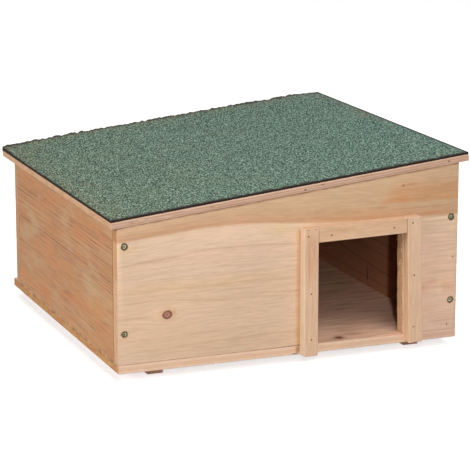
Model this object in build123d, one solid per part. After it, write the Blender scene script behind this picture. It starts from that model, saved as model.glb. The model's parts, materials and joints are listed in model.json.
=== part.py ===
from build123d import *
from math import atan2, cos, degrees, radians, sin, tan
import os

# A wooden hedgehog house: a box of softwood boards on a plywood floor and two bearers, with a
# framed doorway near the right end and a felted roof that slopes down to the left.
# The roof swings up on two butt hinges under its back overhang, so that the nest can be cleaned.
# Lengths are in millimetres and angles in degrees. X runs along the front, Y to the back, Z up.

# Walls
house_width = 460
wall_depth = 444
wall_thickness = 16
wall_height_low = 172
wall_height_high = 219
arris = 0.5

# Floor and the two bearers under it
floor_thickness = 11
floor_back_ledge = 16
bearer_width = 21
bearer_thickness = 13
bearer_end_recess = 28
left_bearer_inset = 47
right_bearer_inset = 40

# Roof
roof_board_thickness = 8.5
felt_thickness = 3
roof_left_overhang = 6.4
roof_right_overhang = 14.2
roof_back_overhang = 35
felt_back_overhang = 1.5

# Doorway and the battens that frame it, which were nailed on a little out of level
door_from_right = 78
door_width = 122
door_height = 136
door_head_cover = 3
frame_batten_width = 19
frame_batten_thickness = 14
frame_tilt = 0.95
left_jamb_lean = 0
right_jamb_lean = 1.7
lintel_end_gap = 0.2

# Countersunk screws that hold the front and back panels to the side panels
wall_screw_head = 8
wall_screw_shank = 4
wall_screw_length = 40
wall_screw_sunk = 0.5
lower_screw_inset = 8.6
upper_screw_inset = 9.8
lower_screw_height = 39.3
upper_screw_height = 149.2

# Countersunk screws from below, through the floor into the four walls
floor_screw_head = 7
floor_screw_shank = 3.5
floor_screw_length = 35
floor_screw_sunk = 0.5
floor_screw_depth_shares = (0.12, 0.5, 0.88)

# Nails that hold the bearers, and brads that hold the door frame
bearer_nail_head = 4.5
bearer_nail_shank = 2
bearer_nail_length = 21
bearer_nail_head_height = 1
bearer_nail_sunk = 0.6
bearer_nail_shares = (0.08, 0.5, 0.92)
brad_head = 2.2
brad_shank = 1.4
brad_length = 25
brad_sunk = 0.3
brad_head_height = 0.6
left_jamb_brad_shares = ((0.28, 0.94), (0.50, 0.49), (0.53, 0.13))
right_jamb_brad_shares = ((0.39, 0.957), (0.44, 0.54), (0.34, 0.129))
lintel_brad_shares = ((0.14, 0.41), (0.85, 0.45))

# Butt hinges
hinge_length = 50
hinge_from_end = 95
leaf_width = 18
leaf_thickness = 1.5
leaf_corner_radius = 2
pin_radius = 1.3
pin_clearance = 0.05
pin_head_radius = 2.3
pin_head_thickness = 0.9
pin_end_gap = 0.1
knuckle_count = 5
knuckle_gap = 0.3
leaf_edge_gap = 0.5
hinge_screw_head = 5.4
hinge_screw_shank = 2.8
roof_hinge_screw_length = 8
wall_hinge_screw_length = 13
hinge_screw_shares = (-0.34, 0, 0.34)

# Shared by all fasteners and cuts
fastener_clearance = 0.05
tip_length = 3
overrun = 5

# Slope of the roof, and the frame that the house stands in
roof_pitch = degrees(atan2(wall_height_high - wall_height_low, house_width))
pitch_cos = cos(radians(roof_pitch))
pitch_sin = sin(radians(roof_pitch))
roof_top = roof_board_thickness + felt_thickness
roof_depth = wall_depth + roof_back_overhang
low_end_reach = roof_left_overhang + roof_top * pitch_sin
house_left = -(house_width + roof_right_overhang - low_end_reach) / 2
house_right = house_left + house_width
front_face = -(roof_depth + felt_back_overhang - frame_batten_thickness) / 2
back_face = front_face + wall_depth
inner_front = front_face + wall_thickness
inner_back = back_face - wall_thickness
floor_bottom = bearer_thickness
floor_top = floor_bottom + floor_thickness

# Doorway places
door_right = house_right - door_from_right
door_left = door_right - door_width
right_jamb_lift = (door_width + frame_batten_width) * tan(radians(frame_tilt))
lintel_underside = floor_top + door_height
lintel_middle = lintel_underside + frame_batten_width / 2
jamb_length = floor_thickness + door_height + frame_batten_width - right_jamb_lift / 2

# Hinge places, in the roof's own frame
knuckle_radius = pin_radius + pin_clearance + leaf_thickness
knuckle_length = (hinge_length - (knuckle_count - 1) * knuckle_gap) / knuckle_count
plate_start = knuckle_radius + leaf_edge_gap
hinge_screw_line = (plate_start + leaf_width) / 2
roof_run = house_width / pitch_cos


def wall_top(x):
    """Height of the sloping top edge of the walls at x."""
    return floor_top + wall_height_low + (x - house_left) * tan(radians(roof_pitch))


# The roof's frame lies on the walls' top edges: x up the slope, y to the back, z square to the roof
roof_frame = Pos(house_left, front_face, wall_top(house_left)) * Rot(0, -roof_pitch, 0)

# Round shapes stand on their base, or hang from their top
on_base = (Align.CENTER, Align.CENTER, Align.MIN)
under_top = (Align.CENTER, Align.CENTER, Align.MAX)


def block(x0, x1, y0, y1, z0, z1):
    """A rectangular block between two corners."""
    box = Box(x1 - x0, y1 - y0, z1 - z0, align=(Align.MIN, Align.MIN, Align.MIN))
    return Pos(x0, y0, z0) * box


def eased(board):
    """A board with its sharp edges taken off."""
    return chamfer(board.edges(), arris)


def screw_profile(head_radius, shank_radius, length, spread=0):
    """Half section of a countersunk screw, head upward, grown by spread for its hole."""
    cone = head_radius - shank_radius
    shank_end = length - tip_length
    return make_face(
        Polyline(
            (0, 0, 0),
            (head_radius + spread, 0, 0),
            (shank_radius + spread, 0, -cone),
            (shank_radius + spread, 0, -shank_end),
            (0, 0, -length - spread),
            close=True,
        )
    )


def screw(head, shank, length):
    """A countersunk screw with its head's top at the origin, pointing down."""
    return revolve(screw_profile(head / 2, shank / 2, length), Axis.Z)


def hole_mouth(head):
    """A straight mouth above a fastener's head, which opens its hole past the surface."""
    return Cylinder(head / 2 + fastener_clearance, overrun, align=on_base)


def screw_hole(head, shank, length):
    """The hole that the screw fills, open above its head."""
    tool = revolve(screw_profile(head / 2, shank / 2, length, fastener_clearance), Axis.Z)
    return tool + hole_mouth(head)


def nail(head, shank, length, head_height, spread=0):
    """A round nail with its head's top at the origin, pointing down."""
    body = Cylinder(head / 2 + spread, head_height + spread, align=under_top)
    body += Cylinder(shank / 2 + spread, length - tip_length, align=under_top)
    point = Cone(0, shank / 2 + spread, tip_length, align=on_base)
    return body + Pos(0, 0, -length) * point


def nail_hole(head, shank, length, head_height):
    """The hole that the nail fills, open above its head."""
    return nail(head, shank, length, head_height, fastener_clearance) + hole_mouth(head)


def wall_screw_places(y, turn):
    """Four places on the front or back face, over the ends of the side panels."""
    spots = ((lower_screw_inset, lower_screw_height), (upper_screw_inset, upper_screw_height))
    return [
        Pos(x, y, floor_top + height) * Rot(turn, 0, 0)
        for inset, height in spots
        for x in (house_left + inset, house_right - inset)
    ]


front_screw_places = wall_screw_places(front_face + wall_screw_sunk, 90)
back_screw_places = wall_screw_places(back_face - wall_screw_sunk, -90)


def floor_screw_places():
    """Places under the floor, on the middle lines of the four walls."""
    inset = wall_thickness / 2
    side_length = inner_back - inner_front
    height = floor_bottom + floor_screw_sunk
    spots = [
        (x, inner_front + share * side_length)
        for x in (house_left + inset, house_right - inset)
        for share in floor_screw_depth_shares
    ]
    left_stretch = (house_left + door_left) / 2
    right_stretch = (door_right + house_right) / 2
    spots += [
        (x, y)
        for x in (left_stretch, right_stretch)
        for y in (front_face + inset, back_face - inset)
    ]
    return [Pos(x, y, height) * Rot(180, 0, 0) for x, y in spots]


bearer_front = front_face + bearer_end_recess
bearer_back = back_face - bearer_end_recess
left_bearer_edge = house_left + left_bearer_inset
right_bearer_edge = house_right - right_bearer_inset - bearer_width


def bearer_nail_places(edge):
    """Places along the underside of the bearer whose left side is at edge."""
    length = bearer_back - bearer_front
    middle = edge + bearer_width / 2
    return [
        Pos(middle, bearer_front + share * length, bearer_nail_sunk) * Rot(180, 0, 0)
        for share in bearer_nail_shares
    ]


def jamb_place(left, lift, lean):
    """The lower left corner of a jamb on the front face; a jamb that leans turns about its top."""
    top = floor_bottom + lift + jamb_length
    return Pos(left, front_face, top) * Rot(0, -lean, 0) * Pos(0, 0, -jamb_length)


def jamb_brad_places(corner, shares):
    """Places on the face of the jamb at a corner, as shares of its width and length."""
    front = brad_sunk - frame_batten_thickness
    return [
        corner * Pos(across * frame_batten_width, front, up * jamb_length) * Rot(90, 0, 0)
        for across, up in shares
    ]


# The frame's jambs and lintel, placed by these three locations
left_jamb_place = jamb_place(door_left - frame_batten_width, 0, left_jamb_lean)
right_jamb_place = jamb_place(door_right, right_jamb_lift, right_jamb_lean)
lintel_place = Pos((door_left + door_right) / 2, front_face, lintel_middle) * Rot(0, -frame_tilt, 0)
lintel_corner_reach = frame_batten_width * sin(radians(frame_tilt))
lintel_length = (door_width - 2 * lintel_end_gap - lintel_corner_reach) / cos(radians(frame_tilt))


def lintel_brad_places():
    """Places on the face of the tilted lintel, as shares of its length and width."""
    front = brad_sunk - frame_batten_thickness
    corner = lintel_place * Pos(-lintel_length / 2, front, -frame_batten_width / 2)
    return [
        corner * Pos(along * lintel_length, 0, up * frame_batten_width) * Rot(90, 0, 0)
        for along, up in lintel_brad_shares
    ]


def hinge_place(distance):
    """The middle of a hinge's axis, at a distance up the slope from the walls' low end."""
    return roof_frame * Pos(distance, wall_depth + knuckle_radius, -knuckle_radius)


hinge_distances = {
    "left": hinge_from_end / pitch_cos,
    "right": roof_run - hinge_from_end / pitch_cos,
}


def wall_leaf_screw_places(distance):
    """Places on the wall leaf, whose screws point into the back panel."""
    return [
        hinge_place(distance)
        * Pos(share * hinge_length, leaf_thickness - knuckle_radius, -hinge_screw_line)
        * Rot(-90, 0, 0)
        for share in hinge_screw_shares
    ]


def roof_leaf_screw_places(distance):
    """Places on the roof leaf, whose screws point up into the roof board."""
    return [
        hinge_place(distance)
        * Pos(share * hinge_length, hinge_screw_line, knuckle_radius - leaf_thickness)
        * Rot(180, 0, 0)
        for share in hinge_screw_shares
    ]


def at_each(places, tool):
    """Copies of a tool or fastener at the given places."""
    return [place * tool for place in places]


all_floor_screws = floor_screw_places()
all_bearer_nails = bearer_nail_places(left_bearer_edge) + bearer_nail_places(right_bearer_edge)
all_brads = (
    jamb_brad_places(left_jamb_place, left_jamb_brad_shares)
    + jamb_brad_places(right_jamb_place, right_jamb_brad_shares)
    + lintel_brad_places()
)
all_wall_leaf_screws = []
all_roof_leaf_screws = []
for distance in hinge_distances.values():
    all_wall_leaf_screws += wall_leaf_screw_places(distance)
    all_roof_leaf_screws += roof_leaf_screw_places(distance)

wall_screw_hole = screw_hole(wall_screw_head, wall_screw_shank, wall_screw_length)
floor_screw_hole = screw_hole(floor_screw_head, floor_screw_shank, floor_screw_length)
bearer_nail_sizes = (bearer_nail_head, bearer_nail_shank, bearer_nail_length, bearer_nail_head_height)
bearer_nail_hole = nail_hole(*bearer_nail_sizes)
brad_hole = nail_hole(brad_head, brad_shank, brad_length, brad_head_height)
wall_hinge_hole = screw_hole(hinge_screw_head, hinge_screw_shank, wall_hinge_screw_length)
roof_hinge_hole = screw_hole(hinge_screw_head, hinge_screw_shank, roof_hinge_screw_length)


def long_panel(y):
    """A front or back panel without holes: full width, its top edge cut to the roof's slope."""
    outline = Polyline(
        (house_left, y, floor_top),
        (house_right, y, floor_top),
        (house_right, y, wall_top(house_right)),
        (house_left, y, wall_top(house_left)),
        close=True,
    )
    return eased(extrude(make_face(outline), wall_thickness, dir=(0, 1, 0)))


def front_panel():
    """The front panel, with the doorway sawn up from its bottom edge."""
    doorway = block(
        door_left,
        door_right,
        front_face - overrun,
        inner_front + overrun,
        floor_top - overrun,
        lintel_underside + door_head_cover,
    )
    panel = long_panel(front_face) - doorway
    panel -= at_each(front_screw_places, wall_screw_hole)
    panel -= at_each(all_brads, brad_hole)
    return panel - at_each(all_floor_screws, floor_screw_hole)


def back_panel():
    """The back panel, closed, with the hinges' screws in its top edge."""
    panel = long_panel(inner_back) - at_each(back_screw_places, wall_screw_hole)
    panel -= at_each(all_wall_leaf_screws, wall_hinge_hole)
    return panel - at_each(all_floor_screws, floor_screw_hole)


def side_panel(left):
    """A side panel between the front and back panels, its top edge bevelled to the slope."""
    right = left + wall_thickness
    outline = Polyline(
        (left, inner_front, floor_top),
        (right, inner_front, floor_top),
        (right, inner_front, wall_top(right)),
        (left, inner_front, wall_top(left)),
        close=True,
    )
    panel = eased(extrude(make_face(outline), inner_back - inner_front, dir=(0, 1, 0)))
    panel -= at_each(front_screw_places + back_screw_places, wall_screw_hole)
    return panel - at_each(all_floor_screws, floor_screw_hole)


def floor_board():
    """The plywood floor, flush with the front and sides and proud at the back."""
    back = back_face + floor_back_ledge
    board = eased(block(house_left, house_right, front_face, back, floor_bottom, floor_top))
    board -= at_each(all_floor_screws, floor_screw_hole)
    return board - at_each(all_bearer_nails, bearer_nail_hole)


def bearer(edge):
    """A bearer that runs from front to back under the floor."""
    batten = eased(block(edge, edge + bearer_width, bearer_front, bearer_back, 0, bearer_thickness))
    return batten - at_each(all_bearer_nails, bearer_nail_hole)


def door_jamb(corner):
    """An upright batten beside the doorway, from the floor's underside to the lintel's top."""
    batten = block(0, frame_batten_width, -frame_batten_thickness, 0, 0, jamb_length)
    return corner * eased(batten) - at_each(all_brads, brad_hole)


def door_lintel():
    """The batten over the doorway, fitted between the jambs."""
    half_length = lintel_length / 2
    half_width = frame_batten_width / 2
    batten = block(-half_length, half_length, -frame_batten_thickness, 0, -half_width, half_width)
    return lintel_place * eased(batten) - at_each(all_brads, brad_hole)


def roof_board():
    """The plywood roof board, flush with the front and overhanging at both ends and the back."""
    low_end = -roof_left_overhang / pitch_cos
    high_end = (house_width + roof_right_overhang) / pitch_cos
    board = roof_frame * eased(block(low_end, high_end, 0, roof_depth, 0, roof_board_thickness))
    return board - at_each(all_roof_leaf_screws, roof_hinge_hole)


def roof_felt():
    """The mineral felt bonded to the roof board, cut a little proud at the back."""
    low_end = -roof_left_overhang / pitch_cos
    high_end = (house_width + roof_right_overhang) / pitch_cos
    back = roof_depth + felt_back_overhang
    sheet = block(low_end, high_end, 0, back, roof_board_thickness, roof_top)
    return roof_frame * sheet


def knuckle_start(index):
    """Where a knuckle starts along the hinge's axis."""
    return index * (knuckle_length + knuckle_gap) - hinge_length / 2


def along_axis(radius, start, end):
    """A round bar along the hinge's axis."""
    return Pos(start, 0, 0) * Rot(0, 90, 0) * Cylinder(radius, end - start, align=on_base)


def hinge_leaf(first_knuckle):
    """A leaf of pressed steel in the hinge's frame, lying back from the axis under the roof."""
    half = hinge_length / 2
    inner_face = knuckle_radius - leaf_thickness
    plate = block(-half, half, plate_start, leaf_width, inner_face, knuckle_radius)
    far_corners = plate.edges().filter_by(Axis.Z).sort_by(Axis.Y)[-2:]
    leaf = fillet(far_corners, leaf_corner_radius)
    for index in range(first_knuckle, knuckle_count, 2):
        start = knuckle_start(index)
        end = start + knuckle_length
        leaf += block(start, end, 0, plate_start, inner_face, knuckle_radius)
        leaf += along_axis(knuckle_radius, start, end)
    return leaf - along_axis(pin_radius + pin_clearance, -half - overrun, half + overrun)


def roof_leaf(distance):
    """The leaf under the roof board's back overhang, with the second and fourth knuckles."""
    leaf = hinge_place(distance) * hinge_leaf(1)
    return leaf - at_each(roof_leaf_screw_places(distance), roof_hinge_hole)


def wall_leaf(distance):
    """The leaf on the back panel's outer face, with the first, third and fifth knuckles."""
    leaf = hinge_place(distance) * mirror(Rot(90, 0, 0) * hinge_leaf(0), about=Plane.XY)
    return leaf - at_each(wall_leaf_screw_places(distance), wall_hinge_hole)


def hinge_pin(distance):
    """The pin, with a head at each end that keeps it in the knuckles."""
    reach = hinge_length / 2 + pin_end_gap
    pin = along_axis(pin_radius, -reach - pin_head_thickness, reach + pin_head_thickness)
    pin += along_axis(pin_head_radius, -reach - pin_head_thickness, -reach)
    pin += along_axis(pin_head_radius, reach, reach + pin_head_thickness)
    return hinge_place(distance) * pin


def fasteners(places, fastener):
    """Separate copies of one fastener, kept together in one group."""
    return Compound(children=at_each(places, fastener))


wall_screw = screw(wall_screw_head, wall_screw_shank, wall_screw_length)
floor_screw = screw(floor_screw_head, floor_screw_shank, floor_screw_length)
wall_hinge_screw = screw(hinge_screw_head, hinge_screw_shank, wall_hinge_screw_length)
roof_hinge_screw = screw(hinge_screw_head, hinge_screw_shank, roof_hinge_screw_length)
bearer_nail = nail(*bearer_nail_sizes)
brad = nail(brad_head, brad_shank, brad_length, brad_head_height)

nodes = {
    "floor_board": floor_board(),
    "left_bearer": bearer(left_bearer_edge),
    "right_bearer": bearer(right_bearer_edge),
    "front_panel": front_panel(),
    "back_panel": back_panel(),
    "left_side_panel": side_panel(house_left),
    "right_side_panel": side_panel(house_right - wall_thickness),
    "left_door_jamb": door_jamb(left_jamb_place),
    "right_door_jamb": door_jamb(right_jamb_place),
    "door_lintel": door_lintel(),
    "roof_board": roof_board(),
    "roof_felt": roof_felt(),
    "front_screws": fasteners(front_screw_places, wall_screw),
    "back_screws": fasteners(back_screw_places, wall_screw),
    "floor_screws": fasteners(all_floor_screws, floor_screw),
    "bearer_nails": fasteners(all_bearer_nails, bearer_nail),
    "door_frame_brads": fasteners(all_brads, brad),
    "wall_hinge_screws": fasteners(all_wall_leaf_screws, wall_hinge_screw),
    "roof_hinge_screws": fasteners(all_roof_leaf_screws, roof_hinge_screw),
}
for side, distance in hinge_distances.items():
    nodes[f"{side}_hinge_wall_leaf"] = wall_leaf(distance)
    nodes[f"{side}_hinge_roof_leaf"] = roof_leaf(distance)
    nodes[f"{side}_hinge_pin"] = hinge_pin(distance)

os.makedirs("parts", exist_ok=True)
for name, shape in nodes.items():
    export_step(shape, f"parts/{name}.step")
    print(name, round(shape.volume, 1))
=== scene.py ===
import bmesh
import bpy
import json
from contextlib import contextmanager
from functools import reduce
from math import atan2, cos, degrees, radians, sin
from mathutils import Matrix, Vector


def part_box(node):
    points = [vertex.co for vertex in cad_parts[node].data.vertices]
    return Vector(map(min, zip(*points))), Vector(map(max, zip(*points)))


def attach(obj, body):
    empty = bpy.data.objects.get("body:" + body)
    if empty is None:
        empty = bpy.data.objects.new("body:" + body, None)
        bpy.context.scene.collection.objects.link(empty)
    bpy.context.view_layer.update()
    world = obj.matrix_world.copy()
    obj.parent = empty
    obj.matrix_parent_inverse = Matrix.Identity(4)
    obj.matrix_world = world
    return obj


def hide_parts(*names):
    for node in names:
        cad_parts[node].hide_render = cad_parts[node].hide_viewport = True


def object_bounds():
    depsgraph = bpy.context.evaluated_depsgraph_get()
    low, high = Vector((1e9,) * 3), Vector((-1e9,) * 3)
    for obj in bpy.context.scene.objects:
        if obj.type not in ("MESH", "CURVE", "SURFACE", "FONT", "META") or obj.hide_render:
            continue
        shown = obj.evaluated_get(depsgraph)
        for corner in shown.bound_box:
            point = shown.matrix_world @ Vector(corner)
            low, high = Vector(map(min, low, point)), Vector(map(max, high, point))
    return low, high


# The looks of a wooden hedgehog house: softwood boards, sawn battens, plywood, green mineral felt
# and plated screws. Lengths are in metres, but in millimetres in the tables of marks on the wood.
# X runs along the front, Y to the back and Z up.

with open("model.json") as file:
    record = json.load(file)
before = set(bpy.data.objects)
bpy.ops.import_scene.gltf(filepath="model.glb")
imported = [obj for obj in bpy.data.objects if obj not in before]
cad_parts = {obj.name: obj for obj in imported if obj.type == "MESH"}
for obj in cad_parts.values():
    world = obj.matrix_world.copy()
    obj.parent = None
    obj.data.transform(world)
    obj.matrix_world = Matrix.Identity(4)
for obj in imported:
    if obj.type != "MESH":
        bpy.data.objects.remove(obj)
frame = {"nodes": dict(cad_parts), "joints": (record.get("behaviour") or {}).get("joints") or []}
cad_low, cad_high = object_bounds()

mm = 0.001

# Camera, measured from the photograph
camera_place = (-1.05326, -2.70375, 0.81533)
camera_tilt = 76.4486
camera_turn = -21.5022
camera_lens = 170.07
camera_sensor = 36

# Light: each lamp's angle to the left of the front, elevation, distance, width, height and power
sky_strength = 0.15
lamps = {
    "front_strip": (18, 18, 3.5, 0.12, 2.0, 50),
    "left_window": (72, 30, 3.5, 1.6, 1.6, 75),
    "front_overhead": (-5, 52, 3.2, 1.4, 1.4, 42),
}
ground_half = 4.0
ground_tone = 0.45
seen_ground_tone = 0.95
ground_glow = 0.73
# The ground's glow near the house, dimmed by ambient occlusion: painted contact shade, darker at the left
# side than in front
front_contact_glow = 0.67
left_contact_glow = 0.25
contact_reach = 0.09
contact_corner = 25 * mm

# Slope of the roof and the corners of the pieces
hinge_axis = frame["joints"][0]["axis"]
pitch = atan2(abs(hinge_axis[2]), abs(hinge_axis[0]))
front_low, front_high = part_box("front_panel")
floor_low, floor_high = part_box("floor_board")
felt_low, felt_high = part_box("roof_felt")
left_jamb_low, left_jamb_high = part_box("left_door_jamb")
right_jamb_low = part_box("right_door_jamb")[0]
lintel_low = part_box("door_lintel")[0]
slope_normal = Vector((-sin(pitch), 0, cos(pitch)))
board_top_left = front_high.z - (front_high.x - front_low.x) * sin(pitch) / cos(pitch)
under_roof = board_top_left * cos(pitch) - front_low.x * sin(pitch)

# Turns that lay a pattern's grain along a piece, in degrees
turn_upright = (-90, 0, 0)
turn_side = (-90, -90, 0)
turn_post = (90, 0, 90)
turn_depth = (0, 0, -90)
turn_roof = (0, degrees(pitch), 0)

# Ways that a face looks
front_side = (0, -1, 0)
left_side = (-1, 0, 0)

# Wood
wood_gloss = 0.3
wood_relief = 0.12 * mm
streak_fade = 35 * mm
curve_height = 200 * mm

# Front board
arris = 0.7 * mm
overrun = 5 * mm
door_top = lintel_low.z + 4.5 * mm
saw_cuts = 34
saw_wander = 0.75 * mm
saw_drift = 2.6 * mm
seam_start = -60 * mm
seam_lift = 1.1 * mm
screw_mouth_depth = 2 * mm
mouth_gap = 0.15 * mm

# Felt
felt_cells = 300
felt_inset = 0.5 * mm
granule = 1.25 * mm
granule_relief = 0.35 * mm
bitumen_relief = 0.3 * mm
grit_size = 1.9 * mm
grit_depth = 0.7 * mm
swell_size = 70 * mm
swell_depth = 0.2 * mm
rim_wander = 0.45 * mm
rim_drop = 0.1 * mm
hem_width = 140 * mm
felt_shift = 0.55 * mm
fray_size = 5 * mm
fray_height = 2.4 * mm
fray_contrast = 2.5
fray_reach = 14 * mm
fray_fade = 60 * mm
curl_rim = 2 * mm
curls = (
    (0.03, 1.0 * mm, 130 * mm),
    (0.18, 1.6 * mm, 130 * mm),
    (0.36, 1.7 * mm, 130 * mm),
    (0.56, 1.5 * mm, 130 * mm),
    (0.75, 1.9 * mm, 110 * mm),
    (0.92, 1.6 * mm, 38 * mm),
)
lip_cells = 160
lip_top = 1 * mm
lip_proud = 0.25 * mm
lip_drops = (0.9 * mm, 4.0 * mm)
lip_rag = 0.5 * mm

# Cross-head screws
head_facets = 32
shank_share = 0.5
rim_share = 0.06
tip_share = 0.1
land_share = 0.2
dish_share = 0.05
recess_reach_share = 0.55
recess_width_share = 0.14
recess_depth_share = 0.42
recess_taper_share = 0.5
bright_depth_share = 0.2
driver_turns = (14, 52, 71, 33, 5, 62, 24)
scratch_relief = 0.03 * mm

# Meshes
sharp_angle = 30
weld_distance = 0.001 * mm


# Shader building

class Signal:
    """A node's output. Its sums, differences, products and quotients are nodes too."""

    def __init__(self, socket):
        self.socket = socket

    def __add__(self, other):
        return maths("ADD", self, other)

    def __radd__(self, other):
        return maths("ADD", other, self)

    def __sub__(self, other):
        return maths("SUBTRACT", self, other)

    def __rsub__(self, other):
        return maths("SUBTRACT", other, self)

    def __mul__(self, other):
        return maths("MULTIPLY", self, other)

    def __truediv__(self, other):
        return maths("DIVIDE", self, other)

    def __abs__(self):
        return maths("ABSOLUTE", self)


def signals(node):
    """A node's outputs by name."""
    return {socket.name: Signal(socket) for socket in node.outputs if socket.name}


def feed(socket, value):
    """Links a signal to a socket, or sets it to a plain value. Plain colours are opaque."""
    if isinstance(value, Signal):
        socket.id_data.links.new(value.socket, socket)
    elif socket.type == "RGBA":
        socket.default_value = (*value, 1.0)
    else:
        socket.default_value = value


def new_node(kind, inputs, tree=None, **settings):
    """A node with its settings and inputs, in the tree of what comes in if none is given."""
    tree = tree or next(value.socket.id_data for value in inputs.values() if isinstance(value, Signal))
    made = tree.nodes.new("ShaderNode" + kind)
    for name, value in settings.items():
        setattr(made, name, value)
    for key, value in inputs.items():
        feed(made.inputs[key], value)
    return made


def output_of(*values, output=0, **settings):
    """One output of a new node."""
    return Signal(new_node(*values, **settings).outputs[output])


def maths(operation, *values):
    """A Math node, or a Vector Math node where a vector comes in."""
    flat = not any(isinstance(value, Signal) and value.socket.type == "VECTOR" for value in values)
    output = "Value" if flat or operation in ("LENGTH", "DOT_PRODUCT") else "Vector"
    kind = "Math" if flat else "VectorMath"
    return output_of(kind, dict(enumerate(values)), output=output, operation=operation)


def greatest(*values):
    """The greatest of several values."""
    return reduce(lambda most, value: maths("MAXIMUM", most, value), values)


def parts_of(vector):
    """The three parts of a vector."""
    return [Signal(part) for part in new_node("SeparateXYZ", {0: vector}).outputs]


def vector_of(x, y, z):
    """A vector from three parts."""
    return output_of("CombineXYZ", {0: x, 1: y, 2: z})


def placed(vector, shift=(0, 0, 0), turn=(0, 0, 0), stretch=(1, 1, 1)):
    """A Mapping node that stretches, turns and then shifts a pattern's coordinates."""
    turn = [radians(angle) for angle in turn]
    return output_of("Mapping", {"Vector": vector, "Location": shift, "Rotation": turn, "Scale": stretch})


def noise(vector, size=1.0, detail=2.0, rough=0.5, distort=0.0, stretch=None):
    """Noise from 0 to 1 whose lumps have about the given size."""
    if stretch:
        vector = placed(vector, stretch=stretch)
    inputs = {
        "Vector": vector, "Scale": 1 / size, "Detail": detail, "Roughness": rough, "Distortion": distort,
    }
    return output_of("TexNoise", inputs, output="Fac")


def sway(vector, size, reach, **settings):
    """Noise that sways about zero over a given reach."""
    return (noise(vector, size, **settings) - 0.5) * reach


def remap(value, low, high, to_low=0.0, to_high=1.0, shape="SMOOTHSTEP"):
    """A Map Range node."""
    inputs = dict(enumerate((value, low, high, to_low, to_high)))
    return output_of("MapRange", inputs, interpolation_type=shape)


def blend(share, first, second, kind="MIX"):
    """A colour Mix node."""
    return output_of("Mix", {0: share, 6: first, 7: second}, output=2, data_type="RGBA", blend_type=kind)


def shared(name, **inputs):
    """Builds an effect once as a node group and gives back what places it. The effect is a function
    from what comes in, named here by kind, to what goes out."""
    kinds = {socket: kind for kind, names in inputs.items() for socket in names.split()}

    def build(effect):
        tree = bpy.data.node_groups.new(name, "ShaderNodeTree")
        for socket, kind in kinds.items():
            tree.interface.new_socket(socket, in_out="INPUT", socket_type="NodeSocket" + kind)
        made = effect(**signals(tree.nodes.new("NodeGroupInput")))
        for socket, value in made.items():
            kind = {"RGBA": "Color", "VECTOR": "Vector", "VALUE": "Float"}[value.socket.type]
            tree.interface.new_socket(socket, in_out="OUTPUT", socket_type="NodeSocket" + kind)
        result = tree.nodes.new("NodeGroupOutput")
        for socket, value in made.items():
            feed(result.inputs[socket], value)

        def place(*ordered, **named):
            return signals(new_node("Group", dict(zip(kinds, ordered)) | named, node_tree=tree))

        return place
    return build


# Effects that several materials share

@shared(
    "softwood",
    Vector="vector pith",
    Float="ring_width wander ring_depth fibre_depth",
    Color="pale late warm",
)
def softwood(vector, pith, ring_width, wander, ring_depth, fibre_depth, pale, late, warm):
    """Growth rings, fibres and clouds of a softwood board, with X along the grain."""
    radius = maths("LENGTH", (vector - pith) * (0, 1, 1))
    radius = radius + sway(vector, 1, wander * 2, stretch=(4, 20, 20))
    radius = radius + sway(vector, 1, 0.9 * mm, stretch=(16, 60, 60))
    turns = radius / ring_width
    turns = turns + sway(vector_of(turns * 0.37, 0, 0), 1, 2.2)
    share = maths("FRACT", turns)
    grown = output_of("TexWhiteNoise", {"W": maths("FLOOR", turns)}, output="Value", noise_dimensions="1D")
    strength = remap(grown, 0, 1, 0.15, 1, "LINEAR")
    latewood = remap(share, 0.3, 0.88) * remap(share, 0.88, 1, 1, 0)
    broken = remap(noise(vector, stretch=(9, 180, 180)), 0.3, 0.65, 0.35, 1)
    between = maths("FRACT", turns * 3)
    between = remap(between, 0.4, 0.9) * remap(between, 0.9, 1, 0.45, 0)
    rings = greatest(latewood * strength, between) * broken
    fibre = noise(vector, detail=4, rough=0.6, stretch=(11, 620, 620))
    hair = noise(vector, stretch=(40, 2600, 2600))
    cloud = noise(vector, detail=3, stretch=(3.2, 17, 17))
    tone = blend(remap(cloud, 0.32, 0.68), pale, warm)
    tone = blend(rings * ring_depth, tone, late)
    tone = blend(remap(fibre, 0.48, 0.75) * fibre_depth, tone, late)
    dashes = noise(vector, detail=3, rough=0.7, stretch=(45, 380, 380))
    fine = remap(hair, 0.35, 0.65, 0.95, 1.05, "LINEAR") + remap(dashes, 0.3, 0.7, -0.07, 0.07)
    tone = blend(1.0, tone, vector_of(fine, fine, fine), "MULTIPLY")
    rough = remap(fibre, 0.3, 0.7, 0.66, 0.54, "LINEAR")
    return {"color": tone, "rings": rings, "height": rings * 0.5 + fibre * 0.5, "roughness": rough}


@shared("knot", Vector="vector centre", Float="radius push")
def knot(vector, centre, radius, push):
    """A round knot: the grain parts round it, and it has a dark rim, rings and a warm halo."""
    along, across, _ = parts_of(vector - centre)
    share = maths("LENGTH", vector_of(along * 0.86, across, 0)) / radius
    share = share * (1 + sway(vector, 6 * mm, 0.35, detail=1))
    reach = vector_of(along / (radius * 5), across / (radius * 2.6), 0)
    spread = maths("EXPONENT", maths("DOT_PRODUCT", reach, reach) * -1)
    return {
        "vector": vector + vector_of(0, across * spread * (push * -1), 0),
        "wood": remap(share, 1.08, 0.92),
        "rim": remap(share, 0.38, 0.72) * remap(share, 0.9, 1.12, 1, 0),
        "rings": remap(share, 0.3, 0.12),
        "halo": remap(share, 2.6, 0.9),
    }


@shared("streak", Vector="vector", Float="height rise width start end")
def streak(vector, height, rise, width, start, end):
    """One named dark line in the grain, at a height that may rise along the board."""
    along, across, _ = parts_of(vector)
    line = height + rise * along + sway(vector, 1, 5 * mm, stretch=(14, 30, 30))
    off = (across - line) / width
    body = remap(off, 0.25, 0) * remap(off, -1, 0)
    return {"mask": body * (remap(along - start, 0, streak_fade) * remap(end - along, 0, streak_fade))}


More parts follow.
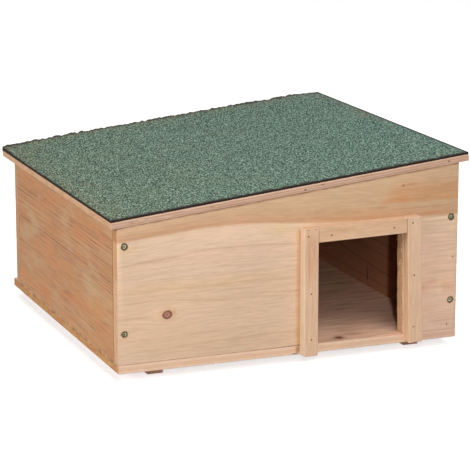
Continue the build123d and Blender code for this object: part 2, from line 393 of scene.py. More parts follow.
@shared("spot", Vector="vector centre reach", Float="softness")
def spot(vector, centre, reach, softness):
    """A soft spot with a wandering outline, as long and high as its reach."""
    away = (vector - centre) * (1, 1, 0) / reach
    wander = remap(noise(away + centre * (900, 700, 0), 0.7), 0, 1, 0.6, 1.4, "LINEAR")
    return {"mask": remap(maths("LENGTH", away) * wander, 1, 1 - softness)}


@shared("end grain", Vector="vector", Float="facing depth", Color="color tint")
def end_grain(vector, facing, depth, color, tint):
    """Turns a long-grain colour into the deeper, porous one of a sawn end, where the face looks along X."""
    mask = remap(abs(facing), 0.6, 0.85)
    pores = noise(vector, 0.9 * mm, detail=3, rough=0.7)
    patch = noise(vector, 14 * mm)
    tinted = blend(1.0, color, tint, "MULTIPLY")
    tinted = blend(remap(pores, 0.5, 0.75, 0, 0.45) * depth, tinted, (0.24, 0.12, 0.06))
    tinted = blend(remap(patch, 0.45, 0.7, 0, 0.5) * depth, tinted, (0.52, 0.29, 0.13))
    return {"color": blend(mask, color, tinted), "mask": mask}


@shared("seam shade", Vector="vector", Float="height width amount broken")
def seam_shade(vector, height, width, amount, broken):
    """Painted shade in broken patches along a seam at a given height."""
    along, across, _ = parts_of(vector)
    patches = noise(vector_of(along, 0, 0), 22 * mm, detail=3, rough=0.6)
    near = remap(abs(across - height) / width, 1, 0.2)
    return {"mask": near * (1 - remap(patches, 0.6, 0.42) * broken) * amount}


@shared(
    "plywood",
    Vector="vector normal",
    Float="ply",
    Color="face vein long_ply cross_ply rough_ply rough_pale",
)
def plywood(vector, normal, ply, face, vein, long_ply, cross_ply, rough_ply, rough_pale):
    """Plywood: a sliced face veneer, and on the edges plies with glue lines, rough on the short edges.
    Z is the height above the board's underside."""
    edge = remap(abs(parts_of(normal)[2]), 0.8, 0.6)
    rough = remap(abs(parts_of(normal)[0]), 0.5, 0.8)
    layer = parts_of(vector)[2] / ply + sway(vector, 45 * mm, 0.35)
    odd = remap(maths("MODULO", maths("FLOOR", layer), 2), 0.4, 0.6)
    glue = remap(abs(maths("FRACT", layer) - 0.5), 0.4, 0.5)
    speck = noise(vector, 1.8 * mm, detail=3, rough=0.7)
    mottle = noise(vector, 16 * mm, detail=3, rough=0.6, stretch=(1, 1, 3))
    calm = blend(odd * 0.7, long_ply, cross_ply)
    calm = blend(remap(mottle, 0.4, 0.7, 0, 0.45), calm, cross_ply)
    calm = blend(glue * 0.3, calm, vein)
    torn = blend(remap(mottle, 0.42, 0.58), rough_pale, rough_ply)
    torn = blend(remap(speck, 0.5, 0.75, 0, 0.4), torn, vein)
    torn = blend(glue * 0.35, torn, vein)
    gaps = noise(vector, 9 * mm, detail=1, stretch=(1, 1, 4))
    void = remap(gaps, 0.72, 0.77, 0, 0.8) * (odd * rough)
    torn = blend(void, torn, (0.06, 0.03, 0.02))
    slow = noise(vector, distort=0.3, stretch=(2.5, 20, 1))
    lines = remap(maths("SINE", slow * 70), -0.2, 1)
    fibre = noise(vector, detail=4, rough=0.6, stretch=(12, 500, 500))
    face = blend(lines * 0.26, face, vein)
    face = blend(remap(fibre, 0.5, 0.75, 0, 0.35), face, vein)
    return {
        "color": blend(edge, face, blend(rough, calm, torn)),
        "height": fibre - greatest(glue, void) * edge,
        "roughness": remap(fibre, 0.3, 0.7, 0.75, 0.6, "LINEAR"),
    }


def new_material(name):
    """A material with its shader and its Texture Coordinate outputs."""
    material = bpy.data.materials.new(name)
    material.use_nodes = True
    tree = material.node_tree
    return material, tree.nodes["Principled BSDF"], signals(tree.nodes.new("ShaderNodeTexCoord"))


def raise_relief(shader, height, depth):
    """A Bump node that feeds the shader's normal."""
    bump = output_of("Bump", {"Strength": 1.0, "Distance": depth, "Height": height})
    feed(shader.inputs["Normal"], bump)


def set_shader(shader, tone, rough, gloss):
    """Sets a shader's colour, roughness and gloss."""
    feed(shader.inputs["Base Color"], tone)
    feed(shader.inputs["Roughness"], rough)
    shader.inputs["Specular IOR Level"].default_value = gloss


def finish_wood(shader, tone, wood):
    """Links a wood's colour, roughness and relief to its shader."""
    set_shader(shader, tone, wood["roughness"], wood_gloss)
    raise_relief(shader, wood["height"], wood_relief)


def cut_ends(spots, turn, tone, depth=1.0, tint=(0.78, 0.68, 0.52)):
    """A board's colour with its end grain, where a face looks along the grain."""
    facing = parts_of(placed(spots["Normal"], turn=turn))[0]
    return end_grain(spots["Object"], facing, depth, tone, tint)


def draw_streaks(vector, tone, dark, streaks):
    """Lays named grain lines over a colour: from their start and end to height, rise, width and depth."""
    for (start, end), lines in streaks.items():
        for height, rise, width, depth in lines:
            made = streak(vector, height * mm, rise, width * mm, start * mm, end * mm)
            tone = blend(made["mask"] * depth, tone, dark)
    return tone


def draw_spots(vector, tone, spots):
    """Tints soft spots of a colour: middle, reach, softness and tint of each."""
    for along, up, reach, rise, softness, tint in spots:
        made = spot(vector, (along * mm, up * mm, 0), (reach * mm, rise * mm, 1), softness)
        tone = blend(made["mask"], tone, tint, "MULTIPLY")
    return tone


def heart_edge(along, places):
    """The height of the heartwood's lower edge along the front, as a smooth curve."""
    width = front_high.x - front_low.x
    made = new_node("FloatCurve", {"Value": remap(along, front_low.x, front_high.x, 0, 1, "LINEAR")})
    curve = made.mapping.curves[0]
    curve.points[0].location = (0, places[0][1] * mm / curve_height)
    curve.points[1].location = (1, places[-1][1] * mm / curve_height)
    for x, height in places[1:-1]:
        curve.points.new((x * mm - front_low.x) / width, height * mm / curve_height)
    made.mapping.update()
    return Signal(made.outputs[0]) * curve_height


# Marks on the front board: the first and last place over which each one grows or fades
front_knot = (-169.2 * mm, 82.6 * mm, 0)
front_knot_radius = 5.4 * mm
heart_middle = 183 * mm
heart_bend = 70 * mm
heart_rag = 2 * mm
heart_border = (-2 * mm, 2.5 * mm)
heart_fade = 22 * mm
brown_end = (5 * mm, 3 * mm)
brown_end_height = (118 * mm, 140 * mm)
arc_middle = (-100 * mm, 73 * mm, 0)
arc_length = 96 * mm
arc_height = 9 * mm
arc_wave_size = 30 * mm
arc_wave = 3 * mm
arc_end = 50 * mm
# Painted shade beside the left jamb: its ragged border, its reach beside and under the jamb, and its fade
# below the jamb's top
jamb_shade_rag_size = 12 * mm
jamb_shade_rag = 4 * mm
jamb_shade_beside = (-8 * mm, -0.5 * mm)
jamb_shade_under = (3 * mm, 2 * mm)
jamb_shade_top = 5 * mm
patch_wave_size = 40 * mm
patch_wave = 3 * mm
patch_middle = 200 * mm
patch_border = (196 * mm, 198 * mm)
patch_top = (229 * mm, 211 * mm)
patch_end = (109 * mm, 132 * mm)
heart_places = (
    (-233, 177.5), (-190, 181), (-158, 184), (-126, 186.5), (-60, 187), (3, 183), (90, 178), (226, 176),
)
# Dark rings round the front screws, by place and depth: crushed fibre, and painted shade in the gap round
# each head
mouth_reach = 5.5
screw_mouth_darkening = (
    (-224.7, 63.3, 0.62), (-223.5, 173.2, 0.28), (216.9, 173.2, 0.36), (218.1, 63.3, 0.5),
)
front_streaks = {
    (-150, 20): ((158, 0, 5, 0.36),),
    (-240, -130): ((160.5, 0.035, 5, 0.42),),
    (-240, 20): (
        (143.5, 0, 4, 0.16), (137, 0, 4, 0.16), (128.5, 0, 4, 0.18), (115.5, 0, 5, 0.22),
        (107, -0.01, 3, 0.2), (92.5, -0.04, 4, 0.32), (98, -0.02, 3, 0.2), (59, 0.02, 4, 0.2),
        (46, 0.03, 4, 0.2), (34.5, 0, 3, 0.16),
    ),
    (-240, -176): ((83, 0, 4, 0.55),),
    (-240, -60): ((28.5, 0, 3, 0.16),),
    (170, 240): (
        (160, 0, 3, 0.45), (152, 0, 3, 0.25), (145.5, 0, 3, 0.3), (139, 0, 3, 0.34), (132.5, 0, 3, 0.3),
        (124, 0, 3, 0.34), (116.5, 0, 3, 0.28), (104, 0, 4, 0.2), (98, 0.02, 4, 0.25),
    ),
    (185, 225): ((51.5, 0.04, 2.5, 0.55),),
    (165, 240): ((177, 0, 2.5, 0.45),),
    (124, 240): ((196.5, 0, 2.5, 0.35),),
}
front_spots = (
    (-160.5, 84.5, 5, 4, 0.9, (0.98, 0.8, 0.68)), (-110, 119, 150, 13, 0.8, (0.99, 0.975, 0.9)),
    (-100, 135, 200, 60, 1, (0.93, 0.93, 0.94)), (198, 70, 36, 110, 0.35, (1.09, 1.05, 1.1)),
    (-90, 152, 150, 12, 0.8, (1, 0.97, 0.98)), (-226, 168, 30, 12, 0.8, (0.98, 0.98, 0.88)),
    (-20, 178, 22, 10, 0.7, (0.97, 0.98, 0.86)), (178, 84, 14, 12, 1, (0.95, 0.84, 0.76)),
    (192, 90, 12, 8, 1, (0.98, 0.88, 0.84)), (214, 82, 14, 13, 1, (0.97, 0.85, 0.8)),
    (203, 78, 4, 22, 0.9, (1.03, 1.06, 1.05)), (185, 55, 22, 9, 1, (0.97, 0.92, 0.9)),
    (205, 38, 20, 8, 1, (0.96, 0.9, 0.88)), (214, 31, 1.6, 2.4, 0.7, (0.45, 0.36, 0.36)),
    (206, 31, 1, 3.4, 0.7, (0.84, 0.74, 0.72)), (220.5, 120, 2.2, 1.6, 0.7, (0.62, 0.42, 0.3)),
    (120, 193, 12, 4, 0.8, (0.9, 0.84, 0.8)), (148, 202, 14, 7, 0.8, (1, 0.9, 0.86)),
    (148.5, 219.5, 3.4, 2, 0.8, (0.6, 0.4, 0.32)), (160, 220.5, 15, 1.6, 0.8, (0.84, 0.72, 0.62)),
    (190, 181, 22, 4, 0.8, (0.98, 0.86, 0.76)),
)


def front_finish():
    """The wide front board: pale sapwood under an orange heartwood zone, with a knot."""
    material, shader, spots = new_material("front_board_pine")
    flat = placed(spots["Object"], turn=turn_upright)
    along, height, _ = parts_of(flat)
    edge = heart_edge(along, heart_places)
    above = height - edge
    lift = (edge - heart_middle) * remap(above, -heart_bend, 0)
    vector = flat - vector_of(0, lift, 0)
    made_knot = knot(vector, front_knot, front_knot_radius, push=0.75)
    wood = softwood(
        vector=made_knot["vector"], pith=(0, -0.9, 0.35), ring_width=7.4 * mm, wander=1.8 * mm,
        ring_depth=0.28, fibre_depth=0.24, pale=(0.65, 0.457, 0.323), late=(0.51, 0.325, 0.205),
        warm=(0.63, 0.432, 0.285),
    )
    tone = draw_streaks(made_knot["vector"], wood["color"], (0.44, 0.26, 0.155), front_streaks)
    tone = blend(arc_lines(flat), tone, (0.5, 0.31, 0.19))
    heart = remap(above + (wood["height"] - 0.5) * heart_rag, *heart_border)
    heart_tone = blend(remap(above, heart_fade, 0), (0.775, 0.72, 0.62), (0.75, 0.61, 0.49))
    tone = blend(heart, tone, heart_tone, "MULTIPLY")
    tone = blend(patch_mask(flat), tone, (0.98, 0.82, 0.69), "MULTIPLY")
    tone = draw_spots(flat, tone, front_spots)
    # Crushed fibre and painted shade round each screw head
    for x, z, depth in screw_mouth_darkening:
        mouth = (x, z, mouth_reach, mouth_reach, 0.25, (depth, 0.92 * depth, 0.8 * depth))
        tone = draw_spots(flat, tone, (mouth,))
    tone = paint_knot(tone, made_knot)
    # Painted shade along the seam under the roof board
    right, _, up = parts_of(placed(spots["Object"], turn=turn_roof))
    shade = seam_shade(vector_of(right, up, 0), under_roof, width=2.6 * mm, amount=0.75, broken=0.5)
    tone = blend(shade["mask"], tone, (0.2, 0.085, 0.045))
    # Painted shade beside the left jamb
    tone = blend(jamb_painted_shade(flat), tone, (0.84, 0.66, 0.5), "MULTIPLY")
    # Painted shade along the seam above the floor, fading out across the doorway
    seam = seam_shade(flat, floor_high.z, width=1.5 * mm, amount=0.7, broken=0.5)
    seam = seam["mask"] * remap(along, right_jamb_low.x, left_jamb_low.x)
    tone = blend(seam, tone, (0.24, 0.11, 0.065))
    end = cut_ends(spots, turn_upright, tone, 0.3, (0.96, 0.82, 0.63))
    left_end = remap(along - front_low.x, *brown_end)
    browner = end["mask"] * left_end * remap(height, *brown_end_height)
    tone = blend(browner, end["color"], (0.88, 0.78, 0.68), "MULTIPLY")
    finish_wood(shader, tone, wood)
    return material


def arc_lines(vector):
    """Faint nested arcs that close towards the doorway, to the right of the knot."""
    along, up, _ = parts_of(vector - arc_middle)
    up = up + sway(vector, arc_wave_size, arc_wave)
    reach = maths("LENGTH", vector_of(along / arc_length, up / arc_height, 0))
    line = remap(maths("FRACT", reach * 3), 0.55, 1)
    return line * (remap(reach, 1.3, 1) * remap(along, -arc_end, 0)) * 0.22


def jamb_painted_shade(vector):
    """Painted shade beside the left jamb, darkest against the batten."""
    along, up, _ = parts_of(vector)
    along = along - left_jamb_low.x
    near = remap(along + sway(vector, jamb_shade_rag_size, jamb_shade_rag, detail=3), *jamb_shade_beside)
    return near * remap(along, *jamb_shade_under) * remap(left_jamb_high.z - up, 0, jamb_shade_top)


def patch_mask(vector):
    """The darker patch at the high end: a clear lower border, a round left end and a soft top."""
    along, up, _ = parts_of(vector)
    wave = sway(vector, patch_wave_size, patch_wave)
    up = up + wave
    slant = along + (up - patch_middle) * -0.7 + wave * 4
    return remap(up, *patch_border) * remap(up, *patch_top) * remap(slant, *patch_end)


def paint_knot(tone, made):
    """A knot's halo, wood, dark heart and rim over the board's colour."""
    tone = blend(made["halo"] * 0.3, tone, (0.54, 0.27, 0.15))
    body = blend(made["rings"], (0.38, 0.19, 0.12), (0.17, 0.065, 0.045))
    tone = blend(made["wood"], tone, body)
    return blend(made["rim"] * 0.88, tone, (0.17, 0.058, 0.036))


side_band_low = (96 * mm, 112 * mm)
side_band_high = (188 * mm, 170 * mm)
side_streaks = {
    (-240, 220): ((122.5, 0, 2, 0.5), (138, 0, 1.6, 0.35)),
    (-240, -20): ((131, 0, 1.4, 0.45),),
    (-240, 60): ((145, 0, 1.4, 0.45),),
    (-240, 160): ((151.5, 0, 1.6, 0.4),),
    (-140, 220): ((164, 0, 1.8, 0.3),),
    (-240, -60): ((102.5, -0.01, 2, 0.45),),
    (-160, 140): ((54, 0.05, 3, 0.3), (44, 0.03, 2.4, 0.25)),
}
side_spots = (
    (15, 137, 60, 16, 1, (1, 0.83, 0.68)), (75, 44, 36, 10, 1, (1, 0.8, 0.66)),
    (-10, 62, 80, 10, 1, (1.02, 0.84, 0.7)), (-170, 60, 50, 14, 1, (1, 0.86, 0.74)),
    (-150, 103, 100, 18, 1, (0.97, 1.07, 1.12)), (155, 92, 40, 18, 1, (0.95, 1.07, 1.2)),
    (90, 75, 60, 12, 1, (0.98, 1.05, 1.08)), (-130, 178, 110, 16, 1, (1.03, 0.92, 0.8)),
    (60, 172, 60, 14, 1, (1, 0.9, 0.8)), (-60, 35, 80, 8, 1, (1, 0.92, 0.86)),
    (-196, 30, 26, 8, 1, (0.92, 0.8, 0.66)), (194.5, 100, 3.2, 190, 0.9, (0.5, 0.4, 0.33)),
    (-217, 100, 2.6, 190, 0.9, (0.62, 0.52, 0.44)),
)


def side_finish():
    """The left side board, warmer and darker, with fine close lines in its upper half."""
    material, shader, spots = new_material("side_board_pine")
    vector = placed(spots["Object"], turn=turn_side)
    wood = softwood(
        vector=placed(vector, shift=(3.1, 0, 0)), pith=(0, -0.6, 0.2), ring_width=7.5 * mm, wander=2 * mm,
        ring_depth=0.45, fibre_depth=0.5, pale=(0.505, 0.255, 0.098), late=(0.33, 0.132, 0.046),
        warm=(0.448, 0.204, 0.074),
    )
    along, height, _ = parts_of(vector)
    close = softwood(vector=vector, pith=(0, -0.9, 0.2), ring_width=4.2 * mm, wander=0.8 * mm)["rings"]
    band = remap(height, *side_band_low) * remap(height, *side_band_high)
    low_lines = remap(noise(vector, stretch=(4, 20, 20)), 0.48, 0.6, 0, 0.6)
    lines = remap(close, 0, 0.6) * greatest(band, low_lines)
    tone = blend(lines, wood["color"], (0.285, 0.112, 0.042))
    mottle = noise(vector, detail=3, stretch=(11, 34, 34))
    tone = blend(remap(mottle, 0.5, 0.66, 0, 0.7), tone, (0.5, 0.195, 0.062))
    tone = blend(remap(mottle, 0.5, 0.34, 0, 0.75), tone, (0.475, 0.28, 0.135))
    dash = noise(vector, detail=3, rough=0.65, stretch=(18, 330, 330))
    tone = blend(remap(dash, 0.52, 0.68, 0, 0.6), tone, (0.27, 0.105, 0.04))
    tone = draw_streaks(vector, tone, (0.3, 0.125, 0.048), side_streaks)
    tone = draw_spots(vector, tone, side_spots)
    # Painted shade along the seam above the floor
    shade = seam_shade(vector, floor_high.z, width=2.4 * mm, amount=0.85, broken=1)
    tone = blend(shade["mask"], tone, (0.07, 0.035, 0.02))
    finish_wood(shader, cut_ends(spots, turn_side, tone)["color"], wood)
    return material


def plain_board_finish(name, turn, shift, pale, late, warm, end_depth=1.0, marks=()):
    """A plain softwood board or batten; each of its marks is painted on the face that looks one way."""
    material, shader, spots = new_material(name)
    vector = placed(spots["Object"], turn=turn)
    wood = softwood(
        vector=placed(vector, shift=shift), pith=(0, -0.5, 0.25), ring_width=6.5 * mm, wander=2.5 * mm,
        ring_depth=0.4, fibre_depth=0.35, pale=pale, late=late, warm=warm,
    )
    tone = wood["color"]
    for direction, paint in marks:
        marked = remap(maths("DOT_PRODUCT", spots["Normal"], direction), 0.5, 0.8)
        tone = blend(marked, tone, paint(vector, tone))
    tint = [1 - end_depth * loss for loss in (0.22, 0.32, 0.48)]
    tone = cut_ends(spots, turn, tone, end_depth, tint)["color"]
    finish_wood(shader, tone, wood)
    return material


def face_tints(*stains):
    """Tints spots of a face: stains, painted light and painted highlights."""
    return lambda vector, tone: draw_spots(vector, tone, stains)


def right_board_inside(vector, tone):
    """The right board's inner face: darker and redder all over, with fine lines, a split and a painted
    shadow beside the doorway.
    """
    tone = draw_streaks(vector, tone, (0.17, 0.08, 0.04), right_board_lines)
    tone = draw_spots(vector, tone, right_board_stains_and_shade)
    # Painted shadow of the front board on the part of the wall nearest the doorway
    dark = remap(parts_of(vector)[0], *inside_painted_shadow)
    return blend(dark, tone, (0.5, 0.35, 0.28), "MULTIPLY")


whole_face = 900
# Border of the painted shadow on the right board's inner face; the shadow covers the part in front of it
inside_painted_shadow = (-57 * mm, -67 * mm)
right_board_lines = {
    (-90, 150): ((58.5, 0.048, 2.5, 0.6),),
    (-120, 200): (
        (96, 0, 3, 0.35), (122, 0, 3, 0.35), (136, 0, 3, 0.3), (38, 0, 2.5, 0.4), (80, 0.02, 2.5, 0.3),
    ),
}
# The first stain darkens the whole inner face as painted shade of the dim inside, and makes it redder
right_board_stains_and_shade = (
    (0, 100, whole_face, whole_face, 0.1, (0.78, 0.62, 0.61)), (3, 41, 2.4, 15, 0.6, (0.3, 0.25, 0.25)),
    (60, 80, 90, 14, 1, (0.9, 0.8, 0.76)),
)
# On the left jamb's front: the mark 7.4 mm across is a painted highlight along its left edge; the one at 179
# pales its top end
left_jamb_marks_and_highlight = (
    (176.2, 12.5, 0.8, 3.4, 0.6, (0.66, 0.5, 0.4)), (176.2, 22.5, 0.8, 2.6, 0.6, (0.6, 0.44, 0.36)),
    (140, 17, 50, 16, 0.8, (0.95, 0.86, 0.81)), (179, 17, 2.8, 30, 0.3, (1.08, 1.14, 1.16)),
    (95, 7.4, 110, 1.6, 0.6, (1, 1.1, 1.17)), (130, 14, 30, 1.2, 0.8, (0.9, 0.82, 0.77)),
    (150, 21, 24, 1.2, 0.8, (0.9, 0.82, 0.77)), (80, 19, 40, 1.4, 0.8, (0.92, 0.88, 0.82)),
)
# On the lintel's front: the second mark is a painted highlight along its lower edge
lintel_stains_and_highlight = (
    (88, 170, whole_face, whole_face, 0.1, (0.96, 0.925, 0.87)), (88, 161, 75, 1.4, 0.6, (1.12, 1.15, 1.17)),
    (60, 172, 30, 5, 1, (0.95, 0.9, 0.86)),
)
board_tones = ((0.62, 0.35, 0.19), (0.42, 0.2, 0.1), (0.56, 0.3, 0.15))
batten_tones = ((0.64, 0.43, 0.29), (0.49, 0.29, 0.18), (0.6, 0.39, 0.245))
bearer_tones = ((0.68, 0.38, 0.29), (0.46, 0.22, 0.15), (0.58, 0.3, 0.21))

# Node, material, turn, shift, tones, depth of the end grain and marks of each plain board
plain_boards = (
    (
        "right_side_panel", "right_board_pine", turn_side, (0.4, 0.1, 0), board_tones, 1.0,
        (left_side, right_board_inside),
    ),
    ("back_panel", "back_board_pine", turn_upright, (0.9, 0.2, 0), board_tones, 1.0),
    (
        "left_door_jamb", "left_jamb_pine", turn_post, (0.3, 0, 0), batten_tones, 0.15,
        (front_side, face_tints(*left_jamb_marks_and_highlight)),
        # Painted light: the left jamb's left side is lightened all over
        (left_side, face_tints((95, 8, whole_face, whole_face, 0.1, (1.04, 1.2, 1.25)))),
    ),
    (
        "right_door_jamb", "right_jamb_pine", turn_post, (1.7, 0, 0.1), batten_tones, 0.15,
        # Painted light: the right jamb's side towards the doorway is lightened all over
        (left_side, face_tints((95, 150, whole_face, whole_face, 0.1, (1.2, 1.15, 1.04)))),
    ),
    (
        "door_lintel", "lintel_pine", turn_upright, (2.3, 0, 0.2), batten_tones, 1.0,
        (front_side, face_tints(*lintel_stains_and_highlight)),
    ),
    ("left_bearer", "left_bearer_pine", turn_depth, (0, 0.1, 0), bearer_tones, 0.3),
    ("right_bearer", "right_bearer_pine", turn_depth, (0, 0.1, 0), bearer_tones, 0.3),
)


def tint_front_edge(vector, normal, tone, stains):
    """Tints on the front edge of a board only: stains, painted light and painted shade."""
    along, _, up = parts_of(vector)
    painted = draw_spots(vector_of(along, up, 0), tone, stains)
    return blend(remap(parts_of(normal)[1], -0.5, -0.8), tone, painted)


def roof_ply_finish():
    """The roof's pale pinkish plywood, with a few small voids and other marks in its front edge."""
    material, shader, spots = new_material("roof_plywood")
    vector = placed(spots["Object"], turn=turn_roof) - (0, 0, under_roof)
    normal = placed(spots["Normal"], turn=turn_roof)
    made = plywood(
        vector=vector, normal=normal, ply=1.7 * mm, face=(0.6, 0.38, 0.25), vein=(0.4, 0.21, 0.12),
        rough_ply=(0.56, 0.31, 0.16), rough_pale=(0.63, 0.39, 0.22), long_ply=(0.54, 0.355, 0.26),
        cross_ply=(0.45, 0.255, 0.16),
    )
    tone = tint_front_edge(vector, normal, made["color"], roof_edge_marks)
    finish_wood(shader, tone, made)
    return material


# Marks on the roof board's front edge; the last darkens the bottom of the edge along its whole length
roof_edge_marks = (
    (-180, 5.4, 7, 1.1, 0.6, (1.25, 1.45, 1.5)), (-192, 4, 4, 0.9, 0.6, (0.7, 0.6, 0.55)),
    (36.6, 3.4, 2.2, 1.1, 0.4, (0.14, 0.1, 0.09)), (61, 6.2, 3.6, 1.1, 0.6, (0.45, 0.32, 0.26)),
    (236, 4.4, 2.2, 1, 0.4, (0.22, 0.16, 0.14)), (120, 6.4, 24, 1, 0.8, (0.84, 0.74, 0.68)),
    (0, 7.8, 300, 1.7, 0.5, (1.16, 1.2, 1.22)), (-118, 6.2, 12, 1.2, 0.7, (1.2, 1.3, 1.34)),
    (-146, 3.2, 9, 1.1, 0.7, (1.18, 1.26, 1.3)), (-88, 4.6, 5, 1.1, 0.7, (0.7, 0.58, 0.5)),
    (-60, 2.6, 30, 1, 0.8, (0.86, 0.78, 0.72)), (170, 2.2, 50, 1, 0.8, (0.86, 0.78, 0.72)),
    (-20, 0.3, 300, 0.9, 0.6, (0.66, 0.58, 0.52)),
)


def floor_ply_finish():
    """The floor's plywood: a grained face with a knot in the doorway and painted light on its far part, and
    pale front plies.
    """
    material, shader, spots = new_material("floor_plywood")
    vector = spots["Object"] - (0, 0, floor_low.z)
    made_knot = knot(vector, floor_knot, floor_knot_radius, push=0.7)
    made = plywood(
        vector=made_knot["vector"], normal=spots["Normal"], ply=3.67 * mm, face=(0.8, 0.49, 0.34),
        vein=(0.46, 0.245, 0.155), rough_ply=(0.45, 0.18, 0.054), rough_pale=(0.52, 0.285, 0.098),
        long_ply=(0.69, 0.485, 0.345), cross_ply=(0.62, 0.39, 0.25),
    )
    on_face = remap(parts_of(spots["Normal"])[2], 0.6, 0.9)
    dark = greatest(made_knot["wood"], made_knot["halo"] * 0.4) * on_face
    grain = noise(vector, detail=3, stretch=(18, 140, 1))
    tone = blend(remap(grain, 0.5, 0.7, 0, 0.5), made["color"], (0.36, 0.18, 0.105))
    tone = blend(remap(grain, 0.46, 0.3, 0, 0.5), tone, (0.92, 0.66, 0.5))
    # Painted light on the far part of the floor, deep in the house
    painted_far_light = remap(parts_of(spots["Object"])[1], *floor_painted_light_part)
    tone = blend(painted_far_light, tone, (1.1, 1.2, 1.24), "MULTIPLY")
    tone = blend(on_face, made["color"], tone)
    tone = blend(dark, tone, (0.2, 0.07, 0.035))
    _, across, up = parts_of(spots["Object"])
    # Painted shade along the seam at the floor's left end, under the side board
    seam = seam_shade(vector_of(across, up, 0), floor_high.z - mm, width=2.4 * mm, amount=0.6, broken=1)
    tone = tint_front_edge(spots["Object"], spots["Normal"], tone, floor_edge_stain_light_and_shade)
    at_end = remap(parts_of(spots["Normal"])[0], -0.5, -0.8)
    tone = blend(seam["mask"] * at_end, tone, (0.09, 0.04, 0.02))
    finish_wood(shader, tone, made)
    return material


floor_knot = (68.5 * mm, -217 * mm, 0)
floor_knot_radius = 4.6 * mm
floor_painted_light_part = (-60 * mm, 60 * mm)
# On the floor's front edge: a faint tint at the right, painted light in the doorway beside the left jamb,
# and painted shade under the painted shade beside that jamb
floor_edge_stain_light_and_shade = (
    (198, 18, 36, 16, 0.2, (0.97, 0.92, 0.98)), (48, 18, 36, 14, 1, (1.12, 1.15, 1.15)),
    (5, 20, 4.5, 9, 0.8, (0.62, 0.46, 0.36)), (1, 14, 6, 1.6, 0.8, (0.3, 0.22, 0.18)),
)


# Marks on the felt: the first and last place over which each one grows
felt_patch_size = 60 * mm
bluer_reach = 240 * mm
worn_left = (-180 * mm, -240 * mm)
worn_back = (200 * mm, 250 * mm)
worn_right = (218 * mm, 232 * mm)
worn_right_back = (-50 * mm, 50 * mm)
rag_size = 9 * mm
rag_reach = 16 * mm
bare_front = (8 * mm, 4 * mm)
bare_left = (3.5 * mm, 0.5 * mm)
bare_right = (3.6 * mm, 2.4 * mm)
bare_back = (9 * mm, 4 * mm)


def felt_finish():
    """Green mineral grit: pale and dark granules with bitumen showing between them."""
    material, shader, spots = new_material("green_mineral_grit")
    vector = spots["Object"]
    grained = placed(vector, stretch=(1, 0.45, 1))
    grains = signals(new_node("TexVoronoi", {"Vector": grained, "Scale": 1 / granule}))
    chance = parts_of(grains["Color"])
    base = blend(remap(chance[0], 0.1, 0.9), (0.036, 0.082, 0.054), (0.235, 0.35, 0.265))
    base = blend(remap(chance[1], 0.93, 0.97), base, (0.44, 0.56, 0.46))
    gaps = remap(grains["Distance"], 0.5, 0.8)
    base = blend(gaps * 0.8, base, (0.018, 0.03, 0.022))
    lumps = noise(vector, granule, detail=1, stretch=(1, 0.3, 1))
    base = blend(remap(lumps, 0.5, 0.58, 0, 0.95), base, (0.012, 0.036, 0.024))
    base = blend(remap(lumps, 0.465, 0.38, 0, 0.85), base, (0.38, 0.51, 0.405))
    patches = noise(vector, felt_patch_size, detail=3)
    base = blend(remap(patches, 0.5, 0.7, 0, 0.15), base, (0.165, 0.195, 0.11))
    base = blend(remap(patches, 0.48, 0.3, 0, 0.15), base, (0.085, 0.185, 0.15))
    along, across, _ = parts_of(vector)
    bluer = remap(along, -bluer_reach, bluer_reach, 0, 1, "LINEAR")
    base = blend(1.0, base, blend(bluer, (0.98, 0.95, 0.875), (0.94, 1.0, 1.04)), "MULTIPLY")
    corner = remap(along, *worn_right) * remap(across, *worn_right_back)
    worn = greatest(remap(along, *worn_left, 0, 0.6), remap(across, *worn_back), corner)
    rag = noise(vector, rag_size, detail=4, rough=0.7)
    base = blend(worn * remap(rag, 0.46, 0.6, 0, 0.6), base, (0.2, 0.125, 0.06))
    ragged = (rag - 0.5) * rag_reach
    to_front = across - felt_low.y + ragged * 1.8
    to_back = felt_high.y - across + ragged
    to_left = along - felt_low.x + ragged
    to_right = felt_high.x - (along + ragged * 0.3)
    bare = greatest(
        remap(to_front, *bare_front), remap(to_left, *bare_left), remap(to_right, *bare_right, 0, 0.8),
    )
    base = blend(bare, base, (0.022, 0.02, 0.014))
    base = blend(remap(to_back, *bare_back, 0, 0.9), base, (0.05, 0.036, 0.022))
    set_shader(shader, base, remap(chance[2], 0, 1, 0.7, 0.95, "LINEAR"), 0.3)
    raise_relief(shader, chance[0] - gaps, granule_relief)
    return material


def bitumen_finish():
    """The felt's black cut edge and underside."""
    material, shader, spots = new_material("bitumen_edge")
    fibres = noise(spots["Object"], 1.4 * mm, detail=3, rough=0.7)
    tone = blend(remap(fibres, 0.4, 0.7), (0.008, 0.005, 0.004), (0.034, 0.018, 0.01))
    set_shader(shader, tone, remap(fibres, 0.3, 0.7, 0.6, 0.9, "LINEAR"), 0.15)
    raise_relief(shader, fibres, bitumen_relief)
    return material


def metal_finish(name, bright, dull, low_rough, high_rough, patch_size=3 * mm):
    """Plated steel, dulled in patches, with fine scratches."""
    material, shader, spots = new_material(name)
    patch = noise(spots["Object"], patch_size, detail=3, rough=0.6)
    scratch = noise(spots["Object"], 0.9 * mm, stretch=(1, 9, 9))
    tone = blend(remap(patch, 0.35, 0.65), bright, dull)
    set_shader(shader, tone, remap(scratch, 0.3, 0.7, low_rough, high_rough, "LINEAR"), 0.5)
    shader.inputs["Metallic"].default_value = 1.0
    raise_relief(shader, scratch, scratch_relief)
    return material


# Modelling

def clear_selection():
    """Nothing selected, in object mode."""
    bpy.ops.object.select_all(action="DESELECT")


def select_only(piece):
    """One piece selected and active."""
    clear_selection()
    piece.select_set(True)
    bpy.context.view_layer.objects.active = piece


def take_new(name):
    """Names the primitive just added, with its place moved into its mesh."""
    piece = bpy.context.object
    piece.name = name
    piece.data.name = name
    bpy.ops.object.transform_apply(location=True, rotation=True, scale=True)
    return piece


